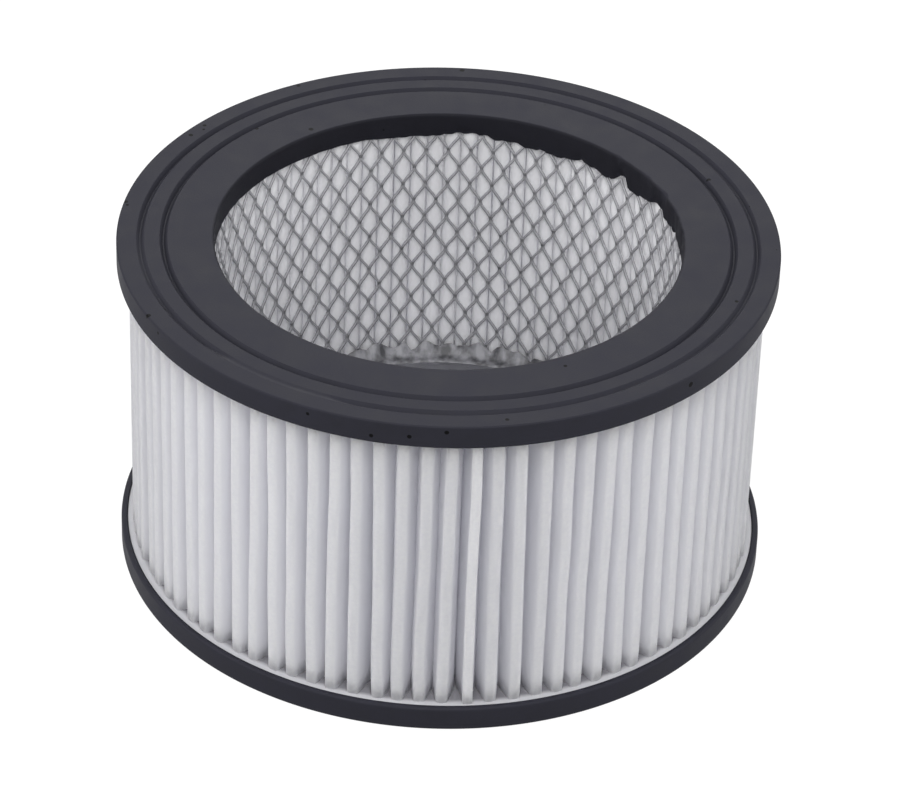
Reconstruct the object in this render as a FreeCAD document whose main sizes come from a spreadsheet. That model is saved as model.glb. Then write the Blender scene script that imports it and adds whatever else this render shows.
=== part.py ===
"""Pleated cartridge filter for a vacuum cleaner, in millimetres.

A folded sheet of white filter cloth stands in a ring between two cast end caps. A tube of
expanded steel carries the folds from inside, and a pressed steel plate closes the lower end.
The frame has +Z up along the filter's axis, with the origin in the middle of the lower face.
"""
import FreeCAD, Part
import math
import os

import Sketcher

SHEET = "dims"

# Driving dimensions: alias, value in millimetres, degrees or pieces, and what it is.
DIMENSIONS = [
    ("total_height", 88.0, "lower face to sealing face"),
    ("cap_radius", 80.0, "outside of the upper cap"),
    ("foot_radius", 80.0, "outside of the lower cap"),
    ("cap_edge", 6.0, "height of the upper cap's outer edge"),
    ("foot_edge", 6.4, "height of the lower cap's outer edge"),
    ("edge_bevel", 0.6, "broken edges of the cast caps"),
    ("bore_radius", 56.5, "hole through the upper cap"),
    ("tube_setback", 0.1, "steel tube stands back from the bore"),
    ("outer_groove_inset", 5.7, "cap's outer edge to the middle of the outer sealing groove"),
    ("inner_groove_inset", 11.3, "cap's outer edge to the middle of the inner sealing groove"),
    ("groove_width", 1.9, "width of each sealing groove"),
    ("groove_depth", 1.1, "depth of each sealing groove"),
    ("potting_depth", 3.0, "thickness of the adhesive bed in the lower cap"),
    ("rim_wall", 1.6, "wall of the lower cap around that bed"),
    ("foot_floor", 2.2, "cast floor under the closing plate"),
    ("plate_gauge", 0.8, "sheet of the closing plate"),
    ("plate_rise", 12.0, "raised middle of the plate above its flange"),
    ("foot_overlap", 19.0, "width of the cast floor under the plate's flange"),
    ("tube_gauge", 0.9, "wall of the expanded steel tube"),
    ("plate_clearance", 0.2, "raised middle to tube"),
    ("tube_clearance", 0.3, "tube to adhesive bed and folds"),
    ("mesh_columns", 20, "openings around the tube"),
    ("mesh_rows", 4, "staggered rows of openings up the tube"),
    ("strand_width", 2.6, "steel left between two openings"),
    ("pleat_count", 88, "folds around the filter"),
    ("pleat_radius", 77.0, "crest of the folds"),
    ("cloth", 0.7, "thickness of the filter cloth"),
    ("crest_width", 2.9, "width of a fold at its crest"),
    ("root_width", 2.2, "width of a fold at the tube"),
    ("seam_angle", 276.0, "direction of the bonded seam, about +Z from +X"),
    ("seam_width", 1.9, "the two bonded ends of the cloth together"),
    ("seam_reach", 0.6, "seam stands past the other crests"),
]

# Sizes that follow from the driving dimensions.
DERIVED = [
    ("outer_groove_radius", "=cap_radius - outer_groove_inset", "middle of the outer groove"),
    ("inner_groove_radius", "=cap_radius - inner_groove_inset", "middle of the inner groove"),
    ("tube_inside", "=bore_radius + tube_setback", "inner radius of the steel tube"),
    ("tube_outside", "=tube_inside + tube_gauge", "outer radius of the steel tube"),
    ("plate_radius", "=tube_inside - plate_clearance", "raised middle of the plate"),
    ("bed_inside", "=tube_outside + tube_clearance", "inside of the adhesive bed and the folds"),
    ("bed_outside", "=foot_radius - rim_wall", "outside of the adhesive bed and the flange"),
    ("cap_under", "=total_height - cap_edge", "underside of the upper cap"),
    ("plate_level", "=foot_floor + plate_gauge", "top of the plate's flange"),
    ("bed_top", "=plate_level + potting_depth", "top of the adhesive bed"),
    ("foot_opening", "=bed_outside - foot_overlap", "hole in the cast floor"),
    ("pleat_height", "=cap_under - bed_top", "bed to upper cap"),
    ("tube_length", "=cap_under - plate_level", "flange to upper cap"),
    ("row_pitch", "=2 * pleat_height / (mesh_rows + 1)", "height of one diamond"),
]


def make_sheet(doc):
    """The spreadsheet that every size is read from."""
    sheet = doc.addObject("Spreadsheet::Sheet", SHEET)
    for row, (alias, value, note) in enumerate(DIMENSIONS + DERIVED, start=1):
        sheet.set(f"A{row}", alias)
        sheet.set(f"B{row}", str(value))
        sheet.set(f"C{row}", note)
        sheet.setAlias(f"B{row}", alias)
    doc.recompute()
    return sheet


def size(sheet, alias):
    """One size as a plain number."""
    return float(sheet.get(alias))


def origin_plane(body, role):
    """One of a body's own base planes."""
    return next(plane for plane in body.Origin.OriginFeatures if plane.Role == role)


def bind_point(sketch, line, end, across, up):
    """Ties one end of a sketch line to two expressions, across and up from the origin."""
    for kind, expression in (("DistanceX", across), ("DistanceY", up)):
        place = sketch.getPoint(line, end)
        value = place.x if kind == "DistanceX" else place.y
        index = sketch.addConstraint(Sketcher.Constraint(kind, -1, 1, line, end, value))
        sketch.setExpression(f"Constraints[{index}]", expression)


def outline_sketch(body, name, role, corners):
    """A closed outline of straight lines whose corners follow expressions of the sheet."""
    sketch = body.newObject("Sketcher::SketchObject", name)
    sketch.AttachmentSupport = [(origin_plane(body, role), "")]
    sketch.MapMode = "FlatFace"
    points = [
        FreeCAD.Vector(sketch.evalExpression(across), sketch.evalExpression(up), 0)
        for across, up in corners
    ]
    count = len(points)
    for k in range(count):
        sketch.addGeometry(Part.LineSegment(points[k], points[(k + 1) % count]))
    for k in range(count):
        sketch.addConstraint(Sketcher.Constraint("Coincident", k, 2, (k + 1) % count, 1))
    for k, (across, up) in enumerate(corners):
        bind_point(sketch, k, 1, across, up)
    return sketch


def turned_body(doc, label, corners):
    """A ring turned about the filter's axis from its half section."""
    body = doc.addObject("PartDesign::Body", label)
    body.Label = label
    corners = [tuple(_with_sheet(text) for text in corner) for corner in corners]
    sketch = outline_sketch(body, f"{label}_section", "XZ_Plane", corners)
    turn = body.newObject("PartDesign::Revolution", f"{label}_turn")
    turn.Profile = sketch
    turn.ReferenceAxis = (sketch, ["V_Axis"])
    turn.Angle = 360
    body.Tip = turn
    return body


def _with_sheet(text):
    """An expression with the sheet's name before each alias."""
    names = {alias for alias, _, _ in DIMENSIONS + DERIVED}
    words = text.replace("(", "( ").replace(")", " )").split()
    return " ".join(f"{SHEET}.{word}" if word in names else word for word in words)


def groove(middle):
    """The three corners of a sealing groove in the upper face, from the axis outwards."""
    return [
        (f"{middle} - groove_width / 2", "total_height"),
        (middle, "total_height - groove_depth"),
        (f"{middle} + groove_width / 2", "total_height"),
    ]


def make_upper_cap(doc):
    """Cast ring with the bore and two sealing grooves; the folds and the tube end in it."""
    return turned_body(
        doc,
        "top_end_cap",
        [
            ("bore_radius", "cap_under"),
            ("bore_radius", "total_height"),
            *groove("inner_groove_radius"),
            *groove("outer_groove_radius"),
            ("cap_radius - edge_bevel", "total_height"),
            ("cap_radius", "total_height - edge_bevel"),
            ("cap_radius", "cap_under"),
        ],
    )


def make_lower_cap(doc):
    """Cast ring under the closing plate, with a thin rim around the lower bed."""
    return turned_body(
        doc,
        "bottom_end_cap",
        [
            ("foot_opening", "0 mm"),
            ("foot_radius - edge_bevel", "0 mm"),
            ("foot_radius", "edge_bevel"),
            ("foot_radius", "foot_edge - edge_bevel"),
            ("foot_radius - edge_bevel", "foot_edge"),
            ("bed_outside", "foot_edge"),
            ("bed_outside", "foot_floor"),
            ("foot_opening", "foot_floor"),
        ],
    )


def make_plate(doc):
    """Pressed steel pan: a flange in the lower cap and a raised middle inside the tube."""
    return turned_body(
        doc,
        "closing_plate",
        [
            ("0 mm", "plate_level + plate_rise - plate_gauge"),
            ("plate_radius - plate_gauge", "plate_level + plate_rise - plate_gauge"),
            ("plate_radius - plate_gauge", "foot_floor"),
            ("bed_outside", "foot_floor"),
            ("bed_outside", "plate_level"),
            ("plate_radius", "plate_level"),
            ("plate_radius", "plate_level + plate_rise"),
            ("0 mm", "plate_level + plate_rise"),
        ],
    )


def make_bed(doc):
    """Flat ring of set adhesive that holds the lower end of the folds."""
    return turned_body(
        doc,
        "bottom_potting",
        [
            ("bed_inside", "plate_level"),
            ("bed_outside", "plate_level"),
            ("bed_outside", "bed_top"),
            ("bed_inside", "bed_top"),
        ],
    )


def make_tube(doc, sheet):
    """Expanded steel tube: staggered diamonds cut through a rolled wall."""
    label = "inner_mesh_tube"
    tube_column = math.pi * (size(sheet, "tube_inside") + size(sheet, "tube_outside"))
    half_wide = tube_column / size(sheet, "mesh_columns") / 2
    half_tall = size(sheet, "row_pitch") / 2
    side_distance = half_wide * half_tall / math.hypot(half_wide, half_tall)
    share = 1 - size(sheet, "strand_width") / 2 / side_distance
    columns = int(size(sheet, "mesh_columns"))
    rows = int(size(sheet, "mesh_rows"))
    inside = size(sheet, "tube_inside")
    outside = size(sheet, "tube_outside")
    length = size(sheet, "tube_length")
    first_row = size(sheet, "bed_top") - size(sheet, "plate_level") + half_tall
    step = 2 * math.pi / columns

    def ring_corner(radius, place, height):
        return FreeCAD.Vector(radius * math.cos(place), radius * math.sin(place), height)

    def facet_face(radius):
        places = [k * step / 2 for k in range(2 * columns)]
        corners = [ring_corner(radius, place, 0) for place in places]
        return Part.Face(Part.makePolygon(corners + corners[:1]))

    hole = facet_face(inside / math.cos(step / 4))
    blank = facet_face(outside).cut(hole).Faces[0].extrude(FreeCAD.Vector(0, 0, length))
    reach = outside * 1.1 - inside * 0.9
    cutters = []
    for row in range(rows):
        height = first_row + row * half_tall
        for column in range(columns):
            turn = (column + 0.5 * (row % 2)) * step
            side = FreeCAD.Vector(-math.sin(turn), math.cos(turn), 0) * (half_wide * share)
            rise = FreeCAD.Vector(0, 0, half_tall * share)
            middle = ring_corner(inside * 0.9, turn, height)
            corners = [middle + side, middle + rise, middle - side, middle - rise, middle + side]
            cutter = Part.Face(Part.makePolygon(corners))
            cutters.append(cutter.extrude(ring_corner(reach, turn, 0)))
    tube = doc.addObject("Part::Feature", label)
    tube.Label = label
    tube.Shape = blank.cut(cutters).Solids[0]
    tube.setExpression("Placement.Base.z", f"{SHEET}.plate_level")
    return tube


def pleat_corners(sheet, side):
    """Corners of one face of the folded cloth, once around. side is +1 outside, -1 inside."""
    crest = size(sheet, "pleat_radius")
    root = size(sheet, "bed_inside")
    cloth = size(sheet, "cloth")
    count = int(size(sheet, "pleat_count"))
    step = 2 * math.pi / count
    start = math.radians(size(sheet, "seam_angle"))
    crest_half = size(sheet, "crest_width") / 2
    root_half = size(sheet, "root_width") / 2
    corners = []

    def add(turn, across, radius):
        """A corner beside the middle line of a fold, across it and out along it."""
        corners.append(
            FreeCAD.Vector(
                radius * math.cos(turn) - across * math.sin(turn),
                radius * math.sin(turn) + across * math.cos(turn),
                0,
            )
        )

    for fold in range(count):
        turn = start + fold * step
        seam = fold == 0
        if side > 0:
            half = size(sheet, "seam_width") / 2 if seam else crest_half
            top = crest + (size(sheet, "seam_reach") if seam else 0)
            add(turn, -half, top)
            add(turn, half, top)
        elif seam:
            add(turn, -cloth / 4, root + 2 * cloth)
            add(turn, cloth / 4, root + 2 * cloth)
        else:
            add(turn, cloth - crest_half, crest - cloth)
            add(turn, crest_half - cloth, crest - cloth)
        valley = turn + step / 2
        if side > 0:
            add(valley, cloth - root_half, root + cloth)
            add(valley, root_half - cloth, root + cloth)
        else:
            add(valley, -root_half, root)
            add(valley, root_half, root)
    return corners


def make_media(doc, sheet):
    """Filter cloth folded into a closed ring, with one bonded seam."""
    outline = doc.addObject("Part::Feature", "pleat_outline")
    faces = []
    for side in (1, -1):
        corners = pleat_corners(sheet, side)
        faces.append(Part.Face(Part.Wire(Part.makePolygon(corners + corners[:1]))))
    outline.Shape = faces[0].cut(faces[1]).Faces[0]
    media = doc.addObject("Part::Extrusion", "pleated_media")
    media.Label = "pleated_media"
    media.Base = outline
    media.DirMode = "Custom"
    media.Dir = FreeCAD.Vector(0, 0, 1)
    media.Solid = True
    media.setExpression("LengthFwd", f"{SHEET}.pleat_height")
    media.setExpression("Placement.Base.z", f"{SHEET}.bed_top")
    return media


def check(doc, pieces):
    """Stops if an object failed or a piece isn't a sound solid."""
    for thing in doc.Objects:
        if "Invalid" in thing.State or "Error" in thing.State:
            raise RuntimeError(f"{thing.Label} failed: {thing.State}")
    for piece in pieces:
        shape = piece.Shape
        if shape.isNull() or not shape.isValid() or not shape.Solids:
            raise RuntimeError(f"{piece.Label} is not a sound solid")
        print(piece.Label, len(shape.Solids), "solid,", round(shape.Volume), "mm3")


def main():
    doc = FreeCAD.newDocument("cartridge_filter")
    sheet = make_sheet(doc)
    pieces = [
        make_upper_cap(doc),
        make_media(doc, sheet),
        make_tube(doc, sheet),
        make_plate(doc),
        make_bed(doc),
        make_lower_cap(doc),
    ]
    doc.recompute()
    check(doc, pieces)
    os.makedirs("parts", exist_ok=True)
    for piece in pieces:
        piece.Shape.exportStep(f"parts/{piece.Label}.step")


main()
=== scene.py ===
# %% [markdown]
# A pleated cartridge filter for a vacuum cleaner: white filter cloth in upright folds, a tube of
# expanded steel behind them, and two dark cast end rings. The measured solids come from the
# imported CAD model, which stays fixed. Each cell below dresses one piece of it.

# %% Load the measured solids
import math

import bmesh
import bpy
from mathutils import Matrix, Vector, noise


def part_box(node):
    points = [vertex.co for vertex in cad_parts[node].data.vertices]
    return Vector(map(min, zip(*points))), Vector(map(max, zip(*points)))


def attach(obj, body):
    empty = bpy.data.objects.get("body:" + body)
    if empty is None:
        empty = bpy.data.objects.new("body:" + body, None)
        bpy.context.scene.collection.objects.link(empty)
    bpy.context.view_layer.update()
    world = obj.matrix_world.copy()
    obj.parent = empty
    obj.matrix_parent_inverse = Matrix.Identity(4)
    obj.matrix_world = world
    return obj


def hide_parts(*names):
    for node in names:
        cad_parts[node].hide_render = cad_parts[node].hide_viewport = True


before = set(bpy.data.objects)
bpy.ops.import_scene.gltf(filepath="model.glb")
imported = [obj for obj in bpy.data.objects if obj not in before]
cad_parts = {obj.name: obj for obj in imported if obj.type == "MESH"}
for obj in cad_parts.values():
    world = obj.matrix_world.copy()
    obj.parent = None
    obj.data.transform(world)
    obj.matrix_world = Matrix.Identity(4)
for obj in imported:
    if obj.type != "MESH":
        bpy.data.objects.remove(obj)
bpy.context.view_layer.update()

MM = 0.001
print("solids:", sorted(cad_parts))

# %% [markdown]
# The sizes are read from the solids' own boxes, so the looks follow the CAD model when it
# changes. Only what a box can't give, such as the bore, is written here in millimetres.

# %% Sizes of the pieces
cap_low, cap_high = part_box("top_end_cap")
foot_low, foot_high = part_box("bottom_end_cap")
cloth_low, cloth_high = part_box("pleated_media")
tube_low, tube_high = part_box("inner_mesh_tube")
plate_low, plate_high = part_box("closing_plate")
bed_low, bed_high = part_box("bottom_potting")

CAP_RADIUS = 80.0 * MM
BORE_RADIUS = 56.5 * MM
FOOT_OPENING = 59.4 * MM
CREST_RADIUS = 77.0 * MM
ROOT_RADIUS = 57.9 * MM
TUBE_RADIUS = 57.1 * MM
PLATE_RADIUS = 56.4 * MM
PLATE_GAUGE = 0.8 * MM
BED_RADIUS = 78.4 * MM
GROOVE_WIDTH = 1.9 * MM
GROOVE_DEPTH = 1.1 * MM
SEAM_ANGLE = math.radians(276)
PLEATS = 88
for label, corner in (("from", cap_low), ("to", cap_high)):
    print("upper cap", label, [round(v / MM, 1) for v in corner])

# %% [markdown]
# Shader and geometry trees are long lists of nodes. One function adds a node, sets its
# properties and fills its inputs, from a plain value, a socket or another node's first output.
# Some inputs go by number. Map Range: 0 is the value, 1 and 2 are the range it comes from, 3 and 4
# the range it goes to. Mix: 0 is the share, and the three numbers below are its colour sockets.

# %% One function that adds a node
FIRST_COLOUR = 6
SECOND_COLOUR = 7
MIXED_COLOUR = 2


def add(tree, kind, inputs=None, **settings):
    """A new node with its settings, and with each input set to a value or linked."""
    made = tree.nodes.new(kind)
    for name, value in settings.items():
        setattr(made, name, value)
    for name, value in (inputs or {}).items():
        if isinstance(value, bpy.types.Node):
            value = value.outputs[0]
        if isinstance(value, bpy.types.NodeSocket):
            tree.links.new(value, made.inputs[name])
        else:
            made.inputs[name].default_value = value
    return made


def linear(colour):
    """An sRGB hex colour such as "46454b" as linear red, green, blue and alpha."""
    parts = [int(colour[k : k + 2], 16) / 255 for k in (0, 2, 4)]
    bent = [c / 12.92 if c <= 0.04045 else ((c + 0.055) / 1.055) ** 2.4 for c in parts]
    return (*bent, 1.0)


def new_material(name):
    """An empty material: its tree, its shader and the object coordinates in millimetres."""
    material = bpy.data.materials.new(name)
    material.use_nodes = True
    tree = material.node_tree
    shader = tree.nodes["Principled BSDF"]
    place = add(tree, "ShaderNodeTexCoord")
    millimetres = add(
        tree,
        "ShaderNodeVectorMath",
        {0: place.outputs["Object"], 1: (1000, 1000, 1000)},
        operation="MULTIPLY",
    )
    return material, tree, shader, millimetres


# %% [markdown]
# The end rings are polyurethane, poured into an open mould and left to foam and set. That gives
# a matt dark grey skin with a soft cloudy tone, a fine grain from the mould, and small burst air
# bubbles, most of them near the outer edge. The bubbles are thinned-out Voronoi cells: each cell
# draws a number, and it gets a pit where that is below a share that grows with the radius and is
# small on the lower ring. Each pit is painted near black, as painted shade in its hollow. The
# bore's wall is painted darker, as painted shade inside the bore.

# %% Cast polyurethane
CLOUD_MM = 8.0
GRAIN_MM = 0.4
PIT_SPACING_MM = 4.5
PIT_LEAST_MM = 0.22
PIT_SPREAD_MM = 0.5
PIT_OFFSET_MM = (13.0, 29.0, 2.0)
PIT_GRAINS = -6.0
PITS_BEGIN_MM = 72.0
PITS_FULL_MM = 77.5
PIT_SHARE_INSIDE = 0.08
PIT_SHARE_EDGE = 0.55
BELOW_MIDDLE_MM = 40.0
ABOVE_MIDDLE_MM = 50.0
LOWER_RING_PITS = 0.2
BORE_WALL_MM = 56.7
BORE_EDGE_MM = 57.2
BORE_SHADE = 0.55
cast, tree, shader, place = new_material("cast_polyurethane")
cloud = add(
    tree,
    "ShaderNodeTexNoise",
    {"Vector": place, "Scale": 1 / CLOUD_MM, "Detail": 6.0, "Roughness": 0.65},
)
grain = add(tree, "ShaderNodeTexNoise", {"Vector": place, "Scale": 1 / GRAIN_MM, "Detail": 3.0})
tone = add(
    tree,
    "ShaderNodeMix",
    {0: cloud.outputs["Fac"], FIRST_COLOUR: linear("27272c"), SECOND_COLOUR: linear("31313a")},
    data_type="RGBA",
)
pit_place = add(tree, "ShaderNodeVectorMath", {0: place, 1: PIT_OFFSET_MM})
cells = add(tree, "ShaderNodeTexVoronoi", {"Vector": pit_place, "Scale": 1 / PIT_SPACING_MM})
drawn = add(tree, "ShaderNodeSeparateColor", {0: cells.outputs["Color"]})
flat_place = add(tree, "ShaderNodeVectorMath", {0: place, 1: (1, 1, 0)}, operation="MULTIPLY")
from_axis = add(tree, "ShaderNodeVectorMath", {0: flat_place}, operation="LENGTH")
edge_share = add(
    tree,
    "ShaderNodeMapRange",
    {
        0: from_axis.outputs["Value"],
        1: PITS_BEGIN_MM,
        2: PITS_FULL_MM,
        3: PIT_SHARE_INSIDE,
        4: PIT_SHARE_EDGE,
    },
)
upwards = add(tree, "ShaderNodeSeparateXYZ", {0: place})
ring_share = add(
    tree,
    "ShaderNodeMapRange",
    {0: upwards.outputs["Z"], 1: BELOW_MIDDLE_MM, 2: ABOVE_MIDDLE_MM, 3: LOWER_RING_PITS, 4: 1.0},
)
pit_share = add(tree, "ShaderNodeMath", {0: edge_share, 1: ring_share}, operation="MULTIPLY")
chosen = add(tree, "ShaderNodeMath", {0: drawn.outputs[0], 1: pit_share}, operation="LESS_THAN")
pit_size = add(
    tree,
    "ShaderNodeMath",
    {0: drawn.outputs[1], 1: PIT_SPREAD_MM / PIT_SPACING_MM, 2: PIT_LEAST_MM / PIT_SPACING_MM},
    operation="MULTIPLY_ADD",
)
inside = add(
    tree,
    "ShaderNodeMath",
    {0: cells.outputs["Distance"], 1: pit_size},
    operation="LESS_THAN",
)
pit = add(tree, "ShaderNodeMath", {0: inside, 1: chosen}, operation="MULTIPLY")
# Painted shade: the bore's wall is painted darker for the shade inside the bore.
bore_shade_share = add(
    tree,
    "ShaderNodeMapRange",
    {0: from_axis.outputs["Value"], 1: BORE_WALL_MM, 2: BORE_EDGE_MM, 3: BORE_SHADE, 4: 0.0},
)
bore_painted_shade = add(
    tree,
    "ShaderNodeMix",
    {0: bore_shade_share, FIRST_COLOUR: tone.outputs[MIXED_COLOUR], SECOND_COLOUR: linear("0c0c0f")},
    data_type="RGBA",
)
# Painted shade: each pit is painted near black for the shade in its hollow.
shade = add(
    tree,
    "ShaderNodeMix",
    {0: pit, FIRST_COLOUR: bore_painted_shade.outputs[MIXED_COLOUR], SECOND_COLOUR: linear("060607")},
    data_type="RGBA",
)
height = add(
    tree,
    "ShaderNodeMath",
    {0: pit, 1: PIT_GRAINS, 2: grain.outputs["Fac"]},
    operation="MULTIPLY_ADD",
)
bump = add(tree, "ShaderNodeBump", {"Height": height, "Strength": 0.25, "Distance": 0.12 * MM})
matt = add(
    tree,
    "ShaderNodeMapRange",
    {0: cloud.outputs["Fac"], 1: 0.3, 2: 0.7, 3: 0.5, 4: 0.64},
)
tree.links.new(shade.outputs[MIXED_COLOUR], shader.inputs["Base Color"])
tree.links.new(matt.outputs[0], shader.inputs["Roughness"])
tree.links.new(bump.outputs[0], shader.inputs["Normal"])
shader.inputs["Specular IOR Level"].default_value = 0.06
print("made", cast.name)

# %% [markdown]
# The filter cloth is a bonded polyester nonwoven: fibres laid at random and pressed flat. It is
# a slightly cool white with faint fibre flecks. The crest of each fold shows as a brighter line,
# partly the pressed crease and partly a painted highlight. It is thin enough to let light
# through, so its shader mixes a plain surface with a translucent one, in shares that were matched
# to the photograph. The folds store how far out they reach in an attribute, and the material
# reads it, so the line follows each fold.

# %% Nonwoven filter cloth
FIBRE_MM = 0.625
FIBRE_RUN = 0.22
FLECK_MM = 0.9
CREST_BEGINS = 0.982
CREST_FULL = 0.997
ROOT_PASSES = 0.35
CREST_PASSES = 0.86
SEAM_LOSS = -0.1
# Less light passes at the crest line, which is partly the pressed crease and partly a painted
# highlight.
CREASE_AND_HIGHLIGHT_LOSS = -0.2
cloth_white, tree, shader, place = new_material("nonwoven_filter_cloth")
stretch = add(
    tree,
    "ShaderNodeVectorMath",
    {0: place, 1: (1.0, 1.0, FIBRE_RUN)},
    operation="MULTIPLY",
)
fibres = add(
    tree,
    "ShaderNodeTexNoise",
    {"Vector": stretch, "Scale": 1 / FIBRE_MM, "Detail": 5.0, "Roughness": 0.65, "Distortion": 1.2},
)
flecks = add(tree, "ShaderNodeTexNoise", {"Vector": place, "Scale": 1 / FLECK_MM, "Detail": 3.0})
reach = add(tree, "ShaderNodeAttribute", attribute_name="reach")
crest = add(
    tree,
    "ShaderNodeMapRange",
    {0: reach.outputs["Fac"], 1: CREST_BEGINS, 2: CREST_FULL, 3: 0.0, 4: 1.0},
    interpolation_type="SMOOTHSTEP",
)
fibre_tone = add(
    tree,
    "ShaderNodeMix",
    {0: fibres.outputs["Fac"], FIRST_COLOUR: linear("f9f9fb"), SECOND_COLOUR: linear("fdfdfe")},
    data_type="RGBA",
)
fleck_share = add(
    tree,
    "ShaderNodeMapRange",
    {0: flecks.outputs["Fac"], 1: 0.4, 2: 0.62, 3: 0.25, 4: 1.0},
)
# The brighter crest line, broken into flecks, is partly the pressed crease and partly a painted
# highlight.
crest_crease_and_highlight = add(tree, "ShaderNodeMath", {0: crest, 1: fleck_share}, operation="MULTIPLY")
cloth_tone = add(
    tree,
    "ShaderNodeMix",
    {
        0: crest_crease_and_highlight,
        FIRST_COLOUR: fibre_tone.outputs[MIXED_COLOUR],
        SECOND_COLOUR: linear("ffffff"),
    },
    data_type="RGBA",
)
bump = add(
    tree,
    "ShaderNodeBump",
    {"Height": fibres.outputs["Fac"], "Strength": 0.35, "Distance": 0.15 * MM},
)
tree.links.new(cloth_tone.outputs[MIXED_COLOUR], shader.inputs["Base Color"])
tree.links.new(bump.outputs[0], shader.inputs["Normal"])
shader.inputs["Roughness"].default_value = 0.9
shader.inputs["Specular IOR Level"].default_value = 0.15
glowing = add(
    tree,
    "ShaderNodeBsdfTranslucent",
    {"Color": cloth_tone.outputs[MIXED_COLOUR], "Normal": bump},
)
passing = add(
    tree,
    "ShaderNodeMapRange",
    {0: reach.outputs["Fac"], 1: 0.1, 2: 0.3, 3: ROOT_PASSES, 4: CREST_PASSES},
)
bonded = add(tree, "ShaderNodeAttribute", attribute_name="seam")
past_seam = add(
    tree,
    "ShaderNodeMath",
    {0: bonded.outputs["Fac"], 1: SEAM_LOSS, 2: passing},
    operation="MULTIPLY_ADD",
)
# The crest passes less light, which brightens its painted highlight.
passed = add(
    tree,
    "ShaderNodeMath",
    {0: crest_crease_and_highlight, 1: CREASE_AND_HIGHLIGHT_LOSS, 2: past_seam},
    operation="MULTIPLY_ADD",
)
thin = add(tree, "ShaderNodeMixShader", {0: passed, 1: shader, 2: glowing})
tree.links.new(thin.outputs[0], tree.nodes["Material Output"].inputs["Surface"])
print("made", cloth_white.name)

# %% [markdown]
# The tube is expanded steel: a sheet slit in rows and pulled open into diamonds, then dulled by
# zinc. The plate below is cold-rolled sheet with a satin face. The adhesive bed is a poured
# filler that levels itself and sets matt. Its grey is painted shade for the pockets between the
# folds, and it is paler in a thin film along the outer rim.

# %% Zinc-dulled expanded steel
SPANGLE_MM = 1.1
zinc, tree, shader, place = new_material("zinc_dulled_steel")
spangle = add(
    tree,
    "ShaderNodeTexNoise",
    {"Vector": place, "Scale": 1 / SPANGLE_MM, "Detail": 3.0},
)
tone = add(
    tree,
    "ShaderNodeMix",
    {0: spangle.outputs["Fac"], FIRST_COLOUR: linear("98989c"), SECOND_COLOUR: linear("acacb0")},
    data_type="RGBA",
)
dull = add(
    tree,
    "ShaderNodeMapRange",
    {0: spangle.outputs["Fac"], 1: 0.3, 2: 0.7, 3: 0.55, 4: 0.7},
)
tree.links.new(tone.outputs[MIXED_COLOUR], shader.inputs["Base Color"])
tree.links.new(dull.outputs[0], shader.inputs["Roughness"])
shader.inputs["Metallic"].default_value = 0.4

# %% Cold-rolled plate
LINE_LENGTH_MM = 20.0
LINE_WIDTH_MM = 0.67
satin, tree, shader, place = new_material("cold_rolled_plate")
rolled = add(
    tree,
    "ShaderNodeVectorMath",
    {0: place, 1: (1 / LINE_LENGTH_MM, 1 / LINE_WIDTH_MM, 1.0)},
    operation="MULTIPLY",
)
rolling_lines = add(tree, "ShaderNodeTexNoise", {"Vector": rolled, "Scale": 1.0, "Detail": 4.0})
dull = add(
    tree,
    "ShaderNodeMapRange",
    {0: rolling_lines.outputs["Fac"], 1: 0.3, 2: 0.7, 3: 0.24, 4: 0.36},
)
bump = add(
    tree,
    "ShaderNodeBump",
    {"Height": rolling_lines.outputs["Fac"], "Strength": 0.1, "Distance": 0.05 * MM},
)
tree.links.new(dull.outputs[0], shader.inputs["Roughness"])
tree.links.new(bump.outputs[0], shader.inputs["Normal"])
shader.inputs["Base Color"].default_value = linear("a6a6ab")
shader.inputs["Metallic"].default_value = 1.0

# %% Poured adhesive
LUMP_MM = 2.9
FILM_BEGINS_MM = 75.8
FILM_FULL_MM = 77.0
filler, tree, shader, place = new_material("poured_adhesive")
lumps = add(tree, "ShaderNodeTexNoise", {"Vector": place, "Scale": 1 / LUMP_MM, "Detail": 4.0})
# Painted shade: this grey stands for the shade in the pockets between the folds.
tone = add(
    tree,
    "ShaderNodeMix",
    {0: lumps.outputs["Fac"], FIRST_COLOUR: linear("7c7b80"), SECOND_COLOUR: linear("929196")},
    data_type="RGBA",
)
flat_place = add(tree, "ShaderNodeVectorMath", {0: place, 1: (1, 1, 0)}, operation="MULTIPLY")
from_axis = add(tree, "ShaderNodeVectorMath", {0: flat_place}, operation="LENGTH")
film = add(
    tree,
    "ShaderNodeMapRange",
    {0: from_axis.outputs["Value"], 1: FILM_BEGINS_MM, 2: FILM_FULL_MM, 3: 0.0, 4: 1.0},
)
bed_shade_and_film = add(
    tree,
    "ShaderNodeMix",
    {0: film, FIRST_COLOUR: tone.outputs[MIXED_COLOUR], SECOND_COLOUR: linear("bcbcc0")},
    data_type="RGBA",
)
bump = add(
    tree,
    "ShaderNodeBump",
    {"Height": lumps.outputs["Fac"], "Strength": 0.4, "Distance": 0.4 * MM},
)
tree.links.new(bed_shade_and_film.outputs[MIXED_COLOUR], shader.inputs["Base Color"])
tree.links.new(bump.outputs[0], shader.inputs["Normal"])
shader.inputs["Roughness"].default_value = 0.55

# %% Smeared adhesive
STREAK_MM = 2.5
STREAK_RUN = 0.1
smear, tree, shader, place = new_material("smeared_adhesive")
upright = add(
    tree,
    "ShaderNodeVectorMath",
    {0: place, 1: (1.0, 1.0, STREAK_RUN)},
    operation="MULTIPLY",
)
streaks = add(
    tree,
    "ShaderNodeTexNoise",
    {"Vector": upright, "Scale": 1 / STREAK_MM, "Detail": 3.0},
)
streak_painted_shade = add(
    tree,
    "ShaderNodeMapRange",
    {0: streaks.outputs["Fac"], 1: 0.36, 2: 0.64, 3: 0.0, 4: 1.0},
)
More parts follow.
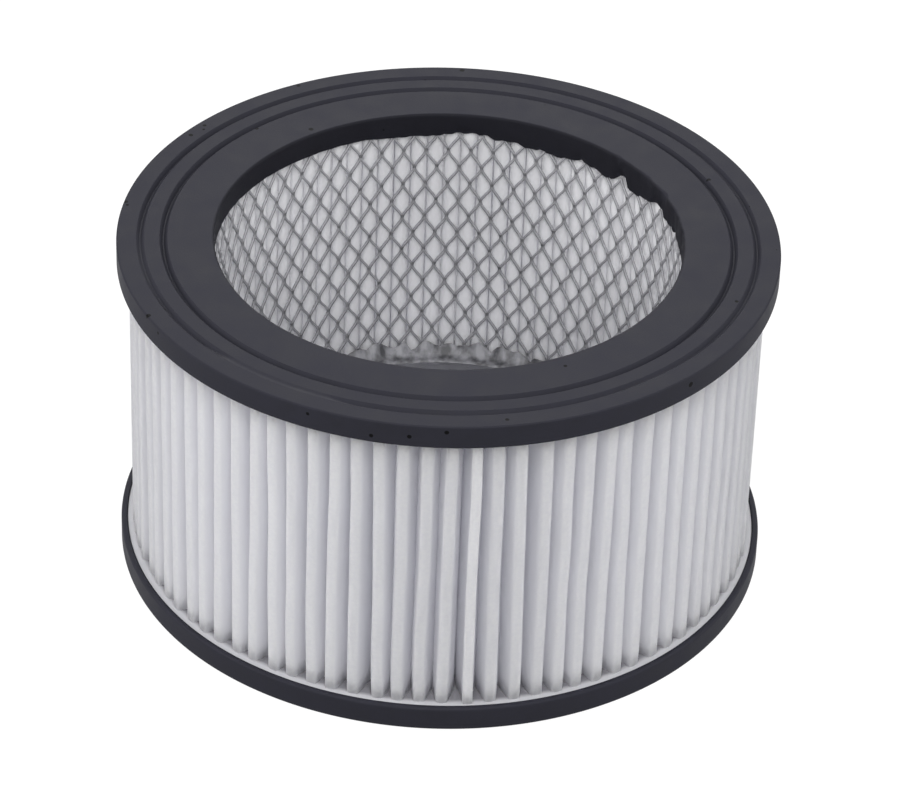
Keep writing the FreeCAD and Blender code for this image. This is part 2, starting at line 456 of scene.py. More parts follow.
# Painted shade: the dark streaks stand for shade in upright stripes.
tone = add(
    tree,
    "ShaderNodeMix",
    {0: streak_painted_shade, FIRST_COLOUR: linear("444448"), SECOND_COLOUR: linear("929297")},
    data_type="RGBA",
)
bump = add(
    tree,
    "ShaderNodeBump",
    {"Height": streaks.outputs["Fac"], "Strength": 0.3, "Distance": 0.4 * MM},
)
tree.links.new(tone.outputs[MIXED_COLOUR], shader.inputs["Base Color"])
tree.links.new(bump.outputs[0], shader.inputs["Normal"])
shader.inputs["Roughness"].default_value = 0.5
print("made", zinc.name, satin.name, filler.name, smear.name)

# %% [markdown]
# Four of the pieces are turned shapes. A half section is drawn as corners, each with the radius
# that rounds it, and swept around the axis. Beside each rounding sits one more point, so that
# smooth shading bends only in the rounding and the flats stay flat.

# %% Turned pieces
NEARLY_STRAIGHT = math.radians(88)
LONGEST_RUN = 0.45
POINT_BESIDE = 1.25


def rounded(corners, steps=5):
    """A closed half section whose corners (radius, height, rounding) are drawn as arcs."""
    points = []
    count = len(corners)
    for k, (r, z, rounding) in enumerate(corners):
        here = Vector((r, z))
        before = Vector(corners[k - 1][:2])
        after = Vector(corners[(k + 1) % count][:2])
        back = (before - here).normalized()
        ahead = (after - here).normalized()
        half = back.angle(ahead) / 2
        if rounding <= 0 or half > NEARLY_STRAIGHT:
            points.append(here)
            continue
        shorter = min((before - here).length, (after - here).length)
        run = min(rounding / math.tan(half), LONGEST_RUN * shorter)
        radius = run * math.tan(half)
        centre = here + (back + ahead).normalized() * (radius / math.sin(half))
        start = here + back * run - centre
        end = here + ahead * run - centre
        turn = start.angle_signed(end)
        points.append(here + back * run * POINT_BESIDE)
        for step in range(steps + 1):
            angle = -turn * step / steps
            points.append(centre + Matrix.Rotation(angle, 2) @ start)
        points.append(here + ahead * run * POINT_BESIDE)
    return points


def turned(name, corners, material, segments=240):
    """A ring swept about the axis from a half section, given from the axis outwards."""
    section = rounded(corners)
    mesh = bpy.data.meshes.new(name)
    form = bmesh.new()
    rings = []
    for k in range(segments):
        angle = 2 * math.pi * k / segments
        rings.append(
            [form.verts.new((p.x * math.cos(angle), p.x * math.sin(angle), p.y)) for p in section]
        )
    for k in range(segments):
        here, after = rings[k], rings[(k + 1) % segments]
        for j in range(len(section)):
            n = (j + 1) % len(section)
            form.faces.new((here[j], after[j], after[n], here[n]))
    bmesh.ops.remove_doubles(form, verts=form.verts, dist=0.000002)
    bmesh.ops.recalc_face_normals(form, faces=form.faces)
    form.to_mesh(mesh)
    form.free()
    mesh.shade_smooth()
    mesh.materials.append(material)
    piece = bpy.data.objects.new(name, mesh)
    bpy.context.scene.collection.objects.link(piece)
    print(name, len(mesh.polygons), "faces")
    return piece


def dress(piece, node):
    """Lets a finished piece stand for a CAD node and ride with it."""
    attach(piece, "root")
    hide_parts(node)


# %% [markdown]
# The upper ring seals against the vacuum with its flat face. Two shallow grooves run around it,
# left by the mould, and the outer one is filled for a short way, so its depth varies. The bore's
# upper edge has small nicks on one side. Where the resin met the steel tube, the lower edge is
# ragged on one side: noise pulls its points down as flash, or up and out as chips.

# %% Upper end cap
INNER_GROOVE = 68.7 * MM
OUTER_GROOVE = 74.3 * MM
GROOVE_FLOOR = 0.2
GROOVE_ROUNDING = 0.2 * MM
FILLED_ANGLE = math.radians(239)
FILLED_HALF = math.radians(9)
FILLED_DEPTH = 0.12
UNEVEN_PER_M = 25
WORN_ANGLE = math.radians(25)
WORN_EDGE = 0.8 * MM
NICK_DEPTH = 1.4 * MM
NICKS_PER_M = 300
RAGGED_ANGLE = math.radians(48)
RAGGED_EDGE = 0.6 * MM
RAGGED_PER_M = 110
RAGGED_FINE_PER_M = 420
CHIP_LEVEL = -0.25
CHIP_REACH = 1.8 * MM
CHIP_RISE = 0.8 * MM
CHIP_WIDTH = 1.1 * MM
FLASH_LEAST = 0.15 * MM
FLASH_REACH = 2.4 * MM


def groove(middle):
    """Corners of a groove with a narrow floor in the upper face."""
    half = GROOVE_WIDTH / 2
    floor_z = cap_high.z - GROOVE_DEPTH
    return [
        (middle - half, cap_high.z, GROOVE_ROUNDING),
        (middle - half * GROOVE_FLOOR, floor_z, GROOVE_ROUNDING),
        (middle + half * GROOVE_FLOOR, floor_z, GROOVE_ROUNDING),
        (middle + half, cap_high.z, GROOVE_ROUNDING),
    ]


cap = turned(
    "top_end_cap_cast",
    [
        (BORE_RADIUS, cap_low.z, 0.25 * MM),
        (BORE_RADIUS, cap_low.z + CHIP_REACH, 0.0),
        (BORE_RADIUS, cap_high.z, 0.6 * MM),
        *groove(INNER_GROOVE),
        *groove(OUTER_GROOVE),
        (CAP_RADIUS, cap_high.z, 0.4 * MM),
        (CAP_RADIUS, cap_low.z, 0.5 * MM),
    ],
    cast,
    segments=360,
)
for vertex in cap.data.vertices:
    x, y, z = vertex.co
    angle = math.atan2(y, x)
    outward = Vector((math.cos(angle), math.sin(angle), 0.0))
    from_middle = math.hypot(x, y)
    if from_middle < BORE_RADIUS + WORN_EDGE and z > cap_high.z - WORN_EDGE:
        worn = max(0.0, math.cos(angle - WORN_ANGLE)) ** 6
        nick = NICK_DEPTH * worn * max(0.0, noise.noise(Vector((x, y, 3)) * NICKS_PER_M))
        vertex.co += outward * nick
    if abs(from_middle - OUTER_GROOVE) < GROOVE_WIDTH and z > cap_high.z - GROOVE_DEPTH * 1.1:
        off_filled = math.remainder(angle - FILLED_ANGLE, 2 * math.pi)
        kept = min(1.0, max(FILLED_DEPTH, (abs(off_filled) - FILLED_HALF) / FILLED_HALF))
        kept *= 0.8 + 0.5 * noise.noise(Vector((x, y, 2)) * UNEVEN_PER_M)
        vertex.co.z = cap_high.z - (cap_high.z - z) * min(1.0, kept)
    if from_middle < BORE_RADIUS + RAGGED_EDGE and z < cap_low.z + RAGGED_EDGE:
        creep = max(0.0, math.cos(angle - RAGGED_ANGLE)) ** 3
        ragged = noise.noise(Vector((x, y, 0)) * RAGGED_PER_M)
        ragged += 0.6 * noise.noise(Vector((x, y, 1)) * RAGGED_FINE_PER_M)
        if ragged > CHIP_LEVEL:
            vertex.co.z -= FLASH_LEAST + creep * FLASH_REACH * (ragged - CHIP_LEVEL)
        else:
            chip = creep * min(1.0, 3.0 * (CHIP_LEVEL - ragged))
            vertex.co.z += CHIP_RISE * chip
            vertex.co += outward * (CHIP_WIDTH * chip)
dress(cap, "top_end_cap")

# %% [markdown]
# The lower ring is the same casting with a thin rim around a bed of adhesive. Under it the
# pressed plate closes the filter; its raised middle sits inside the steel tube.

# %% Lower end cap, adhesive bed and closing plate
foot = turned(
    "bottom_end_cap_cast",
    [
        (FOOT_OPENING, foot_low.z, 0.4 * MM),
        (CAP_RADIUS, foot_low.z, 0.8 * MM),
        (CAP_RADIUS, foot_high.z, 0.7 * MM),
        (BED_RADIUS, foot_high.z, 0.4 * MM),
        (BED_RADIUS, plate_low.z, 0.0),
        (FOOT_OPENING, plate_low.z, 0.2 * MM),
    ],
    cast,
    segments=360,
)
dress(foot, "bottom_end_cap")

bed = turned(
    "bottom_potting_bed",
    [
        (ROOT_RADIUS, bed_low.z, 0.0),
        (BED_RADIUS, bed_low.z, 0.0),
        (BED_RADIUS, bed_high.z, 0.2 * MM),
        (ROOT_RADIUS, bed_high.z, 0.2 * MM),
    ],
    filler,
)
dress(bed, "bottom_potting")

plate = turned(
    "closing_plate_pressed",
    [
        (0.0, plate_high.z - PLATE_GAUGE, 0.0),
        (PLATE_RADIUS - PLATE_GAUGE, plate_high.z - PLATE_GAUGE, 0.8 * MM),
        (PLATE_RADIUS - PLATE_GAUGE, plate_low.z, 0.8 * MM),
        (BED_RADIUS, plate_low.z, 0.1 * MM),
        (BED_RADIUS, plate_low.z + PLATE_GAUGE, 0.1 * MM),
        (PLATE_RADIUS, plate_low.z + PLATE_GAUGE, 0.3 * MM),
        (PLATE_RADIUS, plate_high.z, 1.5 * MM),
        (0.0, plate_high.z, 0.0),
    ],
    satin,
)
dress(plate, "closing_plate")

# %% [markdown]
# A bead of adhesive holds the tube's foot on the plate. It crept up the steel unevenly, so its
# top edge is moved by noise. Its colour runs in upright dark streaks, which are painted shade.

# %% Bead at the foot of the tube
BEAD_OUTER = TUBE_RADIUS + 0.2 * MM
BEAD_WIDTH = 6.0 * MM
BEAD_HEIGHT = 3.2 * MM
BEAD_TOP_WIDTH = 0.3 * MM
BEAD_SINK = 0.3 * MM
BEAD_LIFT = 3.2 * MM
BEAD_WAVES_PER_M = 300
bead_base = plate_high.z - BEAD_SINK
bead = turned(
    "tube_foot_bead",
    [
        (BEAD_OUTER - BEAD_WIDTH, bead_base, 0.0),
        (BEAD_OUTER, bead_base, 0.0),
        (BEAD_OUTER, bead_base + BEAD_HEIGHT, 0.2 * MM),
        (BEAD_OUTER - BEAD_TOP_WIDTH, bead_base + BEAD_HEIGHT, 0.1 * MM),
        (BEAD_OUTER - BEAD_WIDTH * 0.4, bead_base + BEAD_HEIGHT * 0.25, 2.0 * MM),
    ],
    smear,
)
for vertex in bead.data.vertices:
    x, y, z = vertex.co
    if z > bead_base + BEAD_HEIGHT * 0.5:
        vertex.co.z += BEAD_LIFT * noise.noise(Vector((x, y, 4)) * BEAD_WAVES_PER_M)
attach(bead, "root")

# %% [markdown]
# The next two pieces follow a rule, so Geometry Nodes make them. A helper starts a tree with
# named inputs, and another runs it once on an empty mesh and keeps the result as a plain mesh,
# because instances and live modifiers would be lost later.

# %% Running a geometry tree


def new_tree(name, sizes):
    """A geometry tree with a named input for each size, and its input node."""
    tree = bpy.data.node_groups.new(name, "GeometryNodeTree")
    tree.interface.new_socket(name="Geometry", in_out="OUTPUT", socket_type="NodeSocketGeometry")
    for label, value in sizes.items():
        kind = "NodeSocketInt" if isinstance(value, int) else "NodeSocketFloat"
        tree.interface.new_socket(name=label, in_out="INPUT", socket_type=kind)
    return tree, add(tree, "NodeGroupInput").outputs


def run_tree(name, tree, sizes):
    """The tree's result with these sizes as a plain mesh object."""
    piece = bpy.data.objects.new(name, bpy.data.meshes.new(name))
    bpy.context.scene.collection.objects.link(piece)
    modifier = piece.modifiers.new(name, "NODES")
    modifier.node_group = tree
    for item in tree.interface.items_tree:
        if item.in_out == "INPUT":
            modifier[item.identifier] = sizes[item.name]
    evaluated = piece.evaluated_get(bpy.context.evaluated_depsgraph_get())
    made = bpy.data.meshes.new_from_object(evaluated)
    piece.modifiers.clear()
    piece.data = made
    print(name, len(made.polygons), "faces")
    return piece


# %% [markdown]
# The cloth is one long sheet folded back and forth. A flat grid stands for the sheet: along it,
# two curves say how far out and how far across each point of one fold lies, and the grid is
# bent round the axis by them. A fold is round at its root, pinched half way, and open again to
# its narrow crest. Each fold draws random numbers that shift, tilt and sway its crest, as
# hand-set folds do, while the inner edges stay even. The first fold is the bonded seam, which
# is narrow, flat and stands prouder.

# %% Folded filter cloth
STEPS = 24
SEED_APART = 101.7
SWAY_APART = 0.37
SWAY_WAVES = 2.2
SEAM_NARROWS = 0.62
SEAM_NARROW = 0.82
CLOTH_GAUGE = 0.45 * MM
cloth_sizes = {
    "Pleats": PLEATS,
    "Steps": STEPS,
    "Rows": 18,
    "Crest radius": CREST_RADIUS - 0.2 * MM,
    "Root radius": ROOT_RADIUS + 0.3 * MM,
    "Bottom": cloth_low.z - 0.4 * MM,
    "Height": cloth_high.z - cloth_low.z + 1.8 * MM,
    "Start": SEAM_ANGLE - math.pi / PLEATS,
    "Shift": 0.16,
    "Tilt": 0.14,
    "Sway": 0.22,
    "Uneven": 0.45 * MM,
    "Seam reach": 0.7 * MM,
    "Seam width": 0.18,
    "Seed": 7,
}
tree, size = new_tree("folded_cloth", cloth_sizes)
across_count = add(
    tree,
    "ShaderNodeMath",
    {0: size["Pleats"], 1: size["Steps"], 2: 1.0},
    operation="MULTIPLY_ADD",
)
up_count = add(tree, "ShaderNodeMath", {0: size["Rows"], 1: 1.0})
grid = add(
    tree,
    "GeometryNodeMeshGrid",
    {"Size X": 1.0, "Size Y": 1.0, "Vertices X": across_count, "Vertices Y": up_count},
)
flat = add(tree, "ShaderNodeSeparateXYZ", {0: add(tree, "GeometryNodeInputPosition")})
share = add(tree, "ShaderNodeMath", {0: flat.outputs["X"], 1: 0.5})
along = add(tree, "ShaderNodeMath", {0: share, 1: size["Pleats"]}, operation="MULTIPLY")
fold = add(tree, "ShaderNodeMath", {0: along}, operation="FLOOR")
phase = add(tree, "ShaderNodeMath", {0: along}, operation="FRACT")
up = add(tree, "ShaderNodeMath", {0: flat.outputs["Y"], 1: 0.5})

# The two curves of one fold: out from root to crest, and across from one valley to the next.
# Each pair is one step of a half fold, which bulges at the root, pinches and opens to the crest.
half_fold = [
    (0.0, 0.0),
    (0.01, 0.21),
    (0.035, 0.385),
    (0.08, 0.435),
    (0.16, 0.25),
    (0.3, 0.06),
    (0.7, 0.04),
    (0.8, 0.12),
    (0.94, 0.25),
    (0.983, 0.285),
    (0.996, 0.32),
    (1.0, 0.4),
]
out_points = [(k / STEPS, out) for k, (out, side) in enumerate(half_fold)]
side_points = [(k / STEPS, side) for k, (out, side) in enumerate(half_fold)]
outwards = add(tree, "ShaderNodeFloatCurve", {"Value": phase})
sideways = add(tree, "ShaderNodeFloatCurve", {"Value": phase})
for curve, half, mirrored, middle in (
    (outwards, out_points, lambda y: y, (0.5, 1.0)),
    (sideways, side_points, lambda y: 1 - y, (0.5, 0.5)),
):
    points = half + [middle] + [(1 - x, mirrored(y)) for x, y in reversed(half)]
    line = curve.mapping.curves[0]
    line.points[0].location = points[0]
    line.points[1].location = points[-1]
    for point in points[1:-1]:
        line.points.new(*point)
    for point in line.points:
        point.handle_type = "AUTO_CLAMPED"
    curve.mapping.update()

seam = add(tree, "ShaderNodeMath", {0: fold, 1: 0.0, 2: 0.5}, operation="COMPARE")
seam_out = add(tree, "ShaderNodeMath", {0: seam, 1: outwards}, operation="MULTIPLY")
half_width = add(
    tree,
    "ShaderNodeMapRange",
    {0: seam_out, 1: SEAM_NARROWS, 2: SEAM_NARROW, 3: 0.5, 4: size["Seam width"]},
)
other_side = add(tree, "ShaderNodeMath", {0: half_width, 1: -1.0}, operation="MULTIPLY")
off_middle = add(tree, "ShaderNodeMath", {0: sideways, 1: 0.5}, operation="SUBTRACT")
at_most = add(tree, "ShaderNodeMath", {0: off_middle, 1: half_width}, operation="MINIMUM")
at_least = add(tree, "ShaderNodeMath", {0: at_most, 1: other_side}, operation="MAXIMUM")
narrowed = add(tree, "ShaderNodeMath", {0: at_least, 1: 0.5})

number = add(
    tree,
    "ShaderNodeMath",
    {0: size["Seed"], 1: SEED_APART, 2: fold},
    operation="MULTIPLY_ADD",
)
draw = add(tree, "ShaderNodeTexWhiteNoise", {"W": number}, noise_dimensions="1D")
drawn = add(tree, "ShaderNodeSeparateXYZ", {0: draw.outputs["Color"]})
first = add(tree, "ShaderNodeMath", {0: drawn.outputs[0], 1: 0.5}, operation="SUBTRACT")
second = add(tree, "ShaderNodeMath", {0: drawn.outputs[1], 1: 0.5}, operation="SUBTRACT")
third = add(tree, "ShaderNodeMath", {0: drawn.outputs[2], 1: 0.5}, operation="SUBTRACT")
shift = add(tree, "ShaderNodeMath", {0: first, 1: size["Shift"]}, operation="MULTIPLY")
level = add(tree, "ShaderNodeMath", {0: up, 1: 2.0, 2: -1.0}, operation="MULTIPLY_ADD")
tilt = add(tree, "ShaderNodeMath", {0: second, 1: size["Tilt"]}, operation="MULTIPLY")
sway_place = add(
    tree,
    "ShaderNodeCombineXYZ",
    {
        "X": add(tree, "ShaderNodeMath", {0: number, 1: SWAY_APART}, operation="MULTIPLY"),
        "Y": add(tree, "ShaderNodeMath", {0: up, 1: SWAY_WAVES}, operation="MULTIPLY"),
    },
)
sway = add(tree, "ShaderNodeTexNoise", {"Vector": sway_place, "Scale": 1.0, "Detail": 1.0})
sway_middle = add(tree, "ShaderNodeMath", {0: sway.outputs[0], 1: 0.5}, operation="SUBTRACT")
swayed = add(
    tree,
    "ShaderNodeMath",
    {0: sway_middle, 1: size["Sway"], 2: shift},
    operation="MULTIPLY_ADD",
)
tilted = add(tree, "ShaderNodeMath", {0: tilt, 1: level, 2: swayed}, operation="MULTIPLY_ADD")
loose = add(tree, "ShaderNodeMath", {0: outwards, 1: 2.0}, operation="POWER")
moved = add(tree, "ShaderNodeMath", {0: tilted, 1: loose, 2: narrowed}, operation="MULTIPLY_ADD")
turns = add(tree, "ShaderNodeMath", {0: fold, 1: moved})
step = add(tree, "ShaderNodeMath", {0: 2 * math.pi, 1: size["Pleats"]}, operation="DIVIDE")
angle = add(
    tree,
    "ShaderNodeMath",
    {0: turns, 1: step, 2: size["Start"]},
    operation="MULTIPLY_ADD",
)
depth = add(
    tree,
    "ShaderNodeMath",
    {0: size["Crest radius"], 1: size["Root radius"]},
    operation="SUBTRACT",
)
uneven = add(
    tree,
    "ShaderNodeMath",
    {0: third, 1: size["Uneven"], 2: depth},
    operation="MULTIPLY_ADD",
)
proud = add(
    tree,
    "ShaderNodeMath",
    {0: seam, 1: size["Seam reach"], 2: uneven},
    operation="MULTIPLY_ADD",
)
radius = add(
    tree,
    "ShaderNodeMath",
    {0: outwards, 1: proud, 2: size["Root radius"]},
    operation="MULTIPLY_ADD",
)
cosine = add(tree, "ShaderNodeMath", {0: angle}, operation="COSINE")
sine = add(tree, "ShaderNodeMath", {0: angle}, operation="SINE")
lifted = add(
    tree,
    "ShaderNodeMath",
    {0: up, 1: size["Height"], 2: size["Bottom"]},
    operation="MULTIPLY_ADD",
)
bent = add(
    tree,
    "ShaderNodeCombineXYZ",
    {
        "X": add(tree, "ShaderNodeMath", {0: radius, 1: cosine}, operation="MULTIPLY"),
        "Y": add(tree, "ShaderNodeMath", {0: radius, 1: sine}, operation="MULTIPLY"),
        "Z": lifted,
    },
)
reached = add(
    tree,
    "GeometryNodeStoreNamedAttribute",
    {"Geometry": grid, "Name": "reach", "Value": outwards},
    data_type="FLOAT",
    domain="POINT",
)
marked = add(
    tree,
    "GeometryNodeStoreNamedAttribute",
    {"Geometry": reached, "Name": "seam", "Value": seam_out},
    data_type="FLOAT",
    domain="POINT",
)
folded = add(tree, "GeometryNodeSetPosition", {"Geometry": marked, "Position": bent})
closed = add(tree, "GeometryNodeMergeByDistance", {"Geometry": folded, "Distance": 0.02 * MM})
smooth = add(tree, "GeometryNodeSetShadeSmooth", {"Geometry": closed, "Shade Smooth": True})
plain = add(tree, "GeometryNodeRealizeInstances", {"Geometry": smooth})
painted = add(tree, "GeometryNodeSetMaterial", {"Geometry": plain, "Material": cloth_white})
add(tree, "NodeGroupOutput", {0: painted})

media = run_tree("pleated_media_folds", tree, cloth_sizes)
wall = media.modifiers.new("cloth", "SOLIDIFY")
wall.thickness = CLOTH_GAUGE
wall.offset = 0.0
evaluated = media.evaluated_get(bpy.context.evaluated_depsgraph_get())
thick = bpy.data.meshes.new_from_object(evaluated)
media.modifiers.clear()
media.data = thick
dress(media, "pleated_media")
print("cloth", len(thick.polygons), "faces")

# %% [markdown]
# Expanded steel is a lattice of knots, each with two strands that rise to the next row. One
# knot with its two bent strands is made from short curves, and instances of it stand on points
# wound round the tube, each row turned by half a diamond from the one below.

# %% Expanded steel tube
KNOT_WIDER = 1.35
NEAR_LEAN = 0.12
FAR_LEAN = 0.88
LOW_BEND = 0.38
HIGH_BEND = 0.62
STRAND_STEPS = 5
tube_sizes = {
    "Radius": TUBE_RADIUS,
    "Bottom": tube_low.z + 0.2 * MM,
    "Height": tube_high.z - tube_low.z - 0.2 * MM,
    "Columns": 63,
    "Rows": 16,
    "Strand": 0.6 * MM,
    "Gauge": 0.45 * MM,
    "Knot": 1.8 * MM,
    "Start": math.radians(48),
}
tree, size = new_tree("expanded_steel", tube_sizes)
total = add(tree, "ShaderNodeMath", {0: size["Columns"], 1: size["Rows"]}, operation="MULTIPLY")
points = add(tree, "GeometryNodeMeshLine", {"Count": total})
index = add(tree, "GeometryNodeInputIndex")
row = add(
    tree,
    "ShaderNodeMath",
    {0: add(tree, "ShaderNodeMath", {0: index, 1: size["Columns"]}, operation="DIVIDE")},
    operation="FLOOR",
)
column = add(tree, "ShaderNodeMath", {0: index, 1: size["Columns"]}, operation="MODULO")
odd = add(tree, "ShaderNodeMath", {0: row, 1: 2.0}, operation="MODULO")
staggered = add(tree, "ShaderNodeMath", {0: odd, 1: 0.5, 2: column}, operation="MULTIPLY_ADD")
step = add(tree, "ShaderNodeMath", {0: 2 * math.pi, 1: size["Columns"]}, operation="DIVIDE")
angle = add(
    tree,
    "ShaderNodeMath",
    {0: staggered, 1: step, 2: size["Start"]},
    operation="MULTIPLY_ADD",
)
rise = add(tree, "ShaderNodeMath", {0: size["Height"], 1: size["Rows"]}, operation="DIVIDE")
foot_of_row = add(
    tree,
    "ShaderNodeMath",
    {0: row, 1: rise, 2: size["Bottom"]},
    operation="MULTIPLY_ADD",
)
cosine = add(tree, "ShaderNodeMath", {0: angle}, operation="COSINE")
sine = add(tree, "ShaderNodeMath", {0: angle}, operation="SINE")
place = add(
    tree,
    "ShaderNodeCombineXYZ",
    {
        "X": add(tree, "ShaderNodeMath", {0: size["Radius"], 1: cosine}, operation="MULTIPLY"),
        "Y": add(tree, "ShaderNodeMath", {0: size["Radius"], 1: sine}, operation="MULTIPLY"),
        "Z": foot_of_row,
    },
)
wound = add(tree, "GeometryNodeSetPosition", {"Geometry": points, "Position": place})
facing = add(
    tree,
    "ShaderNodeCombineXYZ",
    {"X": math.pi / 2, "Z": add(tree, "ShaderNodeMath", {0: angle, 1: math.pi / 2})},
)

chord = add(tree, "ShaderNodeMath", {0: step, 1: size["Radius"]}, operation="MULTIPLY")
half_chord = add(tree, "ShaderNodeMath", {0: chord, 1: 0.5}, operation="MULTIPLY")
section = add(
    tree,
    "GeometryNodeCurvePrimitiveQuadrilateral",
    {"Width": size["Strand"], "Height": size["Gauge"]},
)
knot_width = add(tree, "ShaderNodeMath", {0: size["Strand"], 1: KNOT_WIDER}, operation="MULTIPLY")
knot_section = add(
    tree,
    "GeometryNodeCurvePrimitiveQuadrilateral",
    {"Width": knot_width, "Height": size["Gauge"]},
)
knot_half = add(tree, "ShaderNodeMath", {0: size["Knot"], 1: 0.5}, operation="MULTIPLY")
knot_low = add(tree, "ShaderNodeMath", {0: knot_half, 1: -1.0}, operation="MULTIPLY")
knot_line = add(
    tree,
    "GeometryNodeCurvePrimitiveLine",
    {
        "Start": add(tree, "ShaderNodeCombineXYZ", {"Y": knot_low}),
        "End": add(tree, "ShaderNodeCombineXYZ", {"Y": knot_half}),
    },
)
profiles = [(knot_line, knot_section)]
low_bend = add(tree, "ShaderNodeMath", {0: rise, 1: LOW_BEND}, operation="MULTIPLY")
high_bend = add(tree, "ShaderNodeMath", {0: rise, 1: HIGH_BEND}, operation="MULTIPLY")
for side in (1.0, -1.0):
    sideways = add(tree, "ShaderNodeMath", {0: half_chord, 1: side}, operation="MULTIPLY")
    lean = add(tree, "ShaderNodeMath", {0: sideways, 1: NEAR_LEAN}, operation="MULTIPLY")
    far_lean = add(tree, "ShaderNodeMath", {0: sideways, 1: FAR_LEAN}, operation="MULTIPLY")
    line = add(
        tree,
        "GeometryNodeCurvePrimitiveBezierSegment",
        {
            "Resolution": STRAND_STEPS,
            "Start": (0.0, 0.0, 0.0),
            "Start Handle": add(tree, "ShaderNodeCombineXYZ", {"X": lean, "Y": low_bend}),
            "End Handle": add(tree, "ShaderNodeCombineXYZ", {"X": far_lean, "Y": high_bend}),
            "End": add(tree, "ShaderNodeCombineXYZ", {"X": sideways, "Y": rise}),
        },
    )
    profiles.append((line, section))
unit = add(tree, "GeometryNodeJoinGeometry")
for curve, profile in profiles:
    strand = add(
        tree,
        "GeometryNodeCurveToMesh",
        {"Curve": curve, "Profile Curve": profile, "Fill Caps": True},
    )
    tree.links.new(strand.outputs[0], unit.inputs[0])
copies = add(
    tree,
    "GeometryNodeInstanceOnPoints",
    {"Points": wound, "Instance": unit, "Rotation": facing},
)
plain = add(tree, "GeometryNodeRealizeInstances", {"Geometry": copies})
painted = add(tree, "GeometryNodeSetMaterial", {"Geometry": plain, "Material": zinc})
add(tree, "NodeGroupOutput", {0: painted})
tube = run_tree("inner_mesh_tube_strands", tree, tube_sizes)
dress(tube, "inner_mesh_tube")

# %% [markdown]
# The photograph's camera stands in front and a little above, with a long lens. Its distance,
# height and small roll come from fitting the rings' ellipses, for a picture of 900 by 800.

# %% Camera
PICTURE = (900, 800)
FOCAL_PIXELS = 4298.4
DISTANCE = 1.0600
ELEVATION = math.radians(34.64)
ROLL = math.radians(1.87)
AIM_PIXEL = (444.3, 382.6)
AIM_HEIGHT = 0.045
aim = Vector((0, 0, AIM_HEIGHT))
ahead = Vector((0, math.cos(ELEVATION), -math.sin(ELEVATION)))
level_up = Vector((1, 0, 0)).cross(ahead)
right = math.cos(ROLL) * Vector((1, 0, 0)) + math.sin(ROLL) * level_up
upward = right.cross(ahead)
centre_ahead = (
    ahead
    + right * ((PICTURE[0] / 2 - AIM_PIXEL[0]) / FOCAL_PIXELS)
    - upward * ((PICTURE[1] / 2 - AIM_PIXEL[1]) / FOCAL_PIXELS)
).normalized()
centre_right = centre_ahead.cross(upward).normalized()
centre_up = centre_right.cross(centre_ahead)
lens = bpy.data.cameras.new("camera")
lens.sensor_width = 36.0
lens.lens = FOCAL_PIXELS / PICTURE[0] * lens.sensor_width
camera = bpy.data.objects.new("camera", lens)
turn = Matrix((centre_right, centre_up, -centre_ahead)).transposed().to_4x4()
camera.matrix_world = Matrix.Translation(aim - ahead * DISTANCE) @ turn
bpy.context.scene.collection.objects.link(camera)
bpy.context.scene.camera = camera
print("lens", round(lens.lens, 1), "mm")

# %% [markdown]
# A product photograph on white: soft lamps in front, at both sides and, weaker, behind, in an
# even world. What the camera, a reflection or a clear body sees of the floor and the world is
# white, while the light that reaches the object stays at a plain level. Cloth that passes light
# on from fold to fold needs many bounces, so their limit is raised.

# %% Floor, world and lamps
FLOOR_HALF = 3.0
FLOOR_DROP = 0.2 * MM
FLOOR_GREY = (0.15, 0.15, 0.15, 1.0)
FLOOR_GLOW = 0.9
WHITE = (1.0, 1.0, 1.0, 1.0)
WORLD_LIGHT = 0.37
LAMP_AIM = Vector((0, 0, 0.05))
BOUNCES = 24


def seen_rays(tree):
    """1 for rays from the camera, a reflection or a clear body, 0 for light that was spread."""
    path = add(tree, "ShaderNodeLightPath")
    mirrored = add(
        tree,
        "ShaderNodeMath",
        {0: path.outputs["Is Camera Ray"], 1: path.outputs["Is Glossy Ray"]},
        operation="MAXIMUM",
    )
    clear = add(
        tree,
        "ShaderNodeMath",
        {0: mirrored, 1: path.outputs["Is Transmission Ray"]},
        operation="MAXIMUM",
    )
    return add(
        tree,
        "ShaderNodeMath",
        {0: clear, 1: path.outputs["Is Diffuse Ray"]},
        operation="SUBTRACT",
        use_clamp=True,
    )


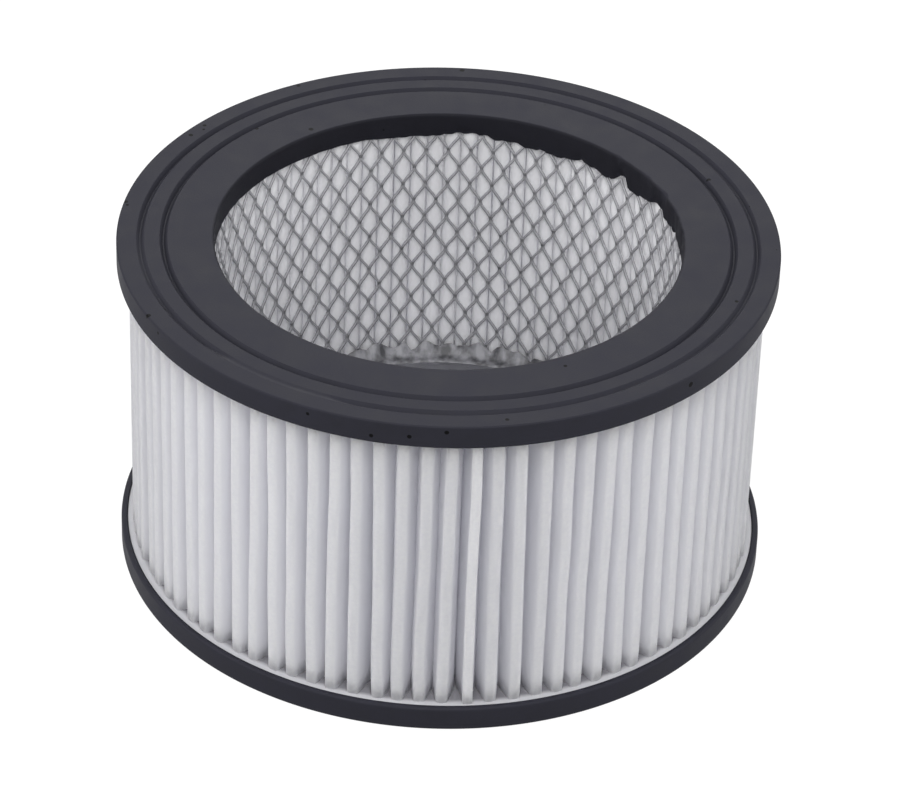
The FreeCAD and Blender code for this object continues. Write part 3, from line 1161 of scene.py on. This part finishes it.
floor_mesh = bpy.data.meshes.new("floor")
floor_mesh.from_pydata(
    [(x * FLOOR_HALF, y * FLOOR_HALF, 0) for x, y in ((-1, -1), (1, -1), (1, 1), (-1, 1))],
    [],
    [(0, 1, 2, 3)],
)
floor = bpy.data.objects.new("floor", floor_mesh)
floor.location.z = -FLOOR_DROP
bpy.context.scene.collection.objects.link(floor)
pale = bpy.data.materials.new("pale_floor")
pale.use_nodes = True
tree = pale.node_tree
tree.nodes.clear()
paint = add(tree, "ShaderNodeBsdfDiffuse", {"Color": FLOOR_GREY})
shown = add(tree, "ShaderNodeMath", {0: seen_rays(tree), 1: FLOOR_GLOW}, operation="MULTIPLY")
glow = add(tree, "ShaderNodeEmission", {"Color": WHITE, "Strength": shown})
both = add(tree, "ShaderNodeAddShader", {0: paint, 1: glow})
add(tree, "ShaderNodeOutputMaterial", {"Surface": both})
floor_mesh.materials.append(pale)

world = bpy.data.worlds.new("studio")
bpy.context.scene.world = world
world.use_nodes = True
tree = world.node_tree
tree.nodes.clear()
strength = add(
    tree,
    "ShaderNodeMapRange",
    {0: seen_rays(tree), 1: 0.0, 2: 1.0, 3: WORLD_LIGHT, 4: 1.0},
)
sky = add(tree, "ShaderNodeBackground", {"Color": WHITE, "Strength": strength})
add(tree, "ShaderNodeOutputWorld", {"Surface": sky})

for name, spot, size_m, watts in (
    ("front", (0.0, -0.9, 0.9), 0.7, 11.0),
    ("left", (-1.1, -0.1, 0.5), 0.8, 8.5),
    ("right", (1.1, -0.1, 0.5), 0.8, 6.2),
    ("back", (0.0, 1.0, 0.6), 0.7, 4.5),
):
    lamp = bpy.data.lights.new(name, "AREA")
    lamp.size = size_m
    lamp.energy = watts
    holder = bpy.data.objects.new(name, lamp)
    holder.location = spot
    holder.rotation_euler = (LAMP_AIM - Vector(spot)).to_track_quat("-Z", "Y").to_euler()
    bpy.context.scene.collection.objects.link(holder)

bpy.context.scene.view_settings.view_transform = "Standard"
bpy.context.scene.cycles.max_bounces = BOUNCES
bpy.context.scene.cycles.diffuse_bounces = BOUNCES
bpy.context.scene.cycles.transmission_bounces = BOUNCES
